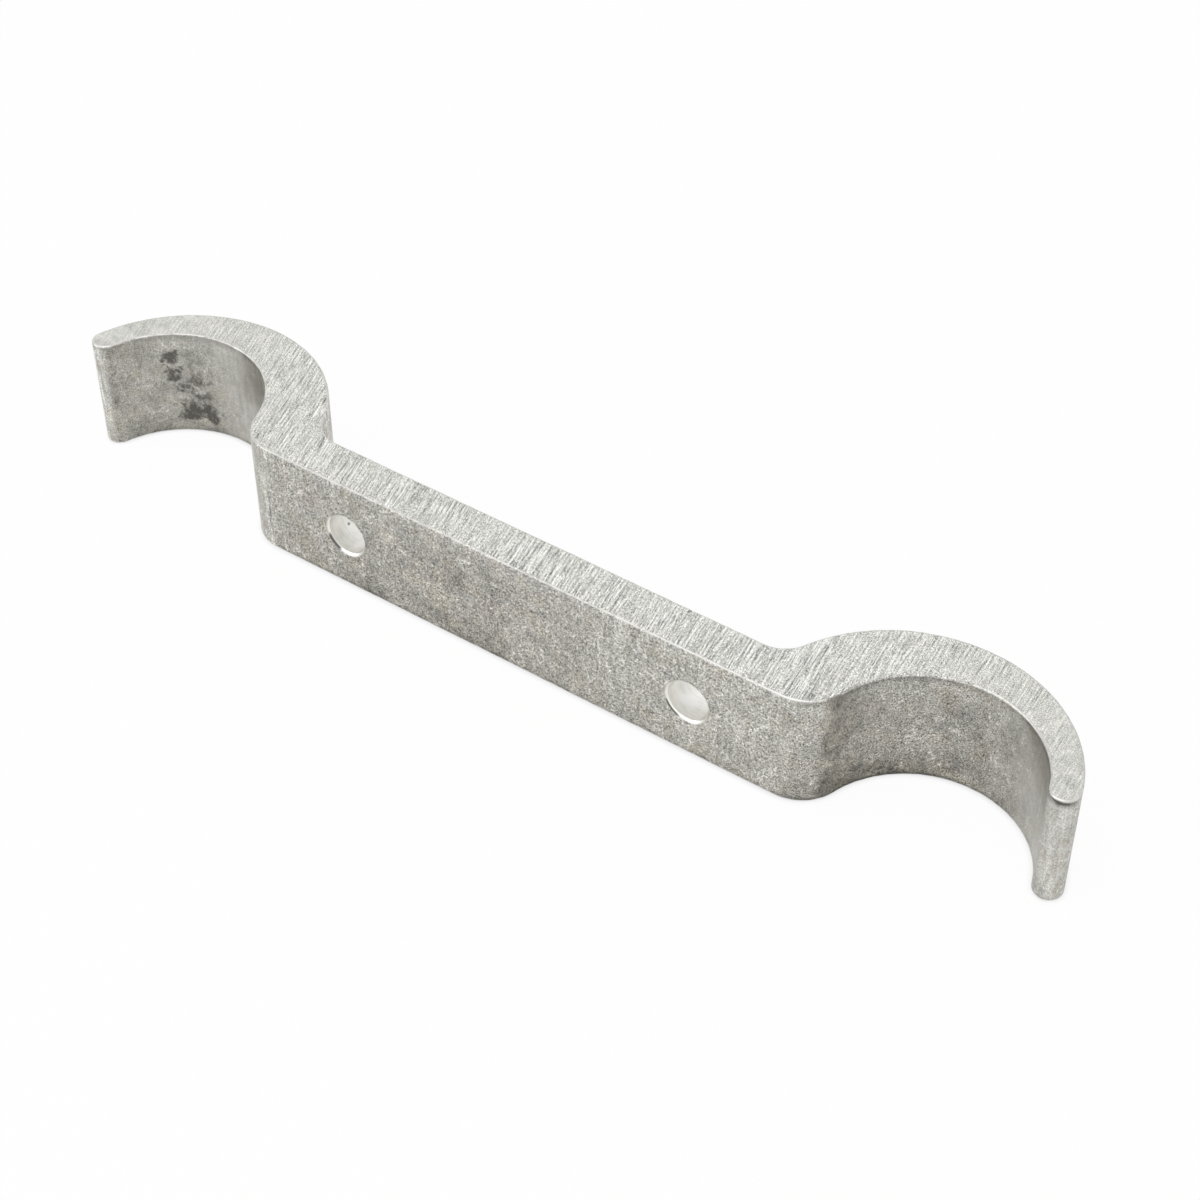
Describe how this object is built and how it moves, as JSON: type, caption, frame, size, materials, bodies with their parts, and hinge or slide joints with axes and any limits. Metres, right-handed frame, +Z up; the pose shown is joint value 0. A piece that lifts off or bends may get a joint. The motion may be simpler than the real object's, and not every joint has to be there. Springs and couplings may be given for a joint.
{
  "type": "double-hook pipe wrench",
  "caption": "Flat bar with a half-round pipe hook at each end, both open to one side, and plain bolt holes through the bar.",
  "frame": {"origin": "middle of the part's base, under the centre of its bounding box", "axes": "+X along the bar, +Y from the bar's front face towards the crowns of the hooks, +Z up along the direction of extrusion"},
  "size_m": [0.2288, 0.0316, 0.0254],
  "materials": {
    "bare_aluminium": "bare extrusion, sawn ends, lightly tumbled"
  },
  "bodies": {
    "root": {"hooked_bar": "bare_aluminium"}
  },
  "joints": []
}
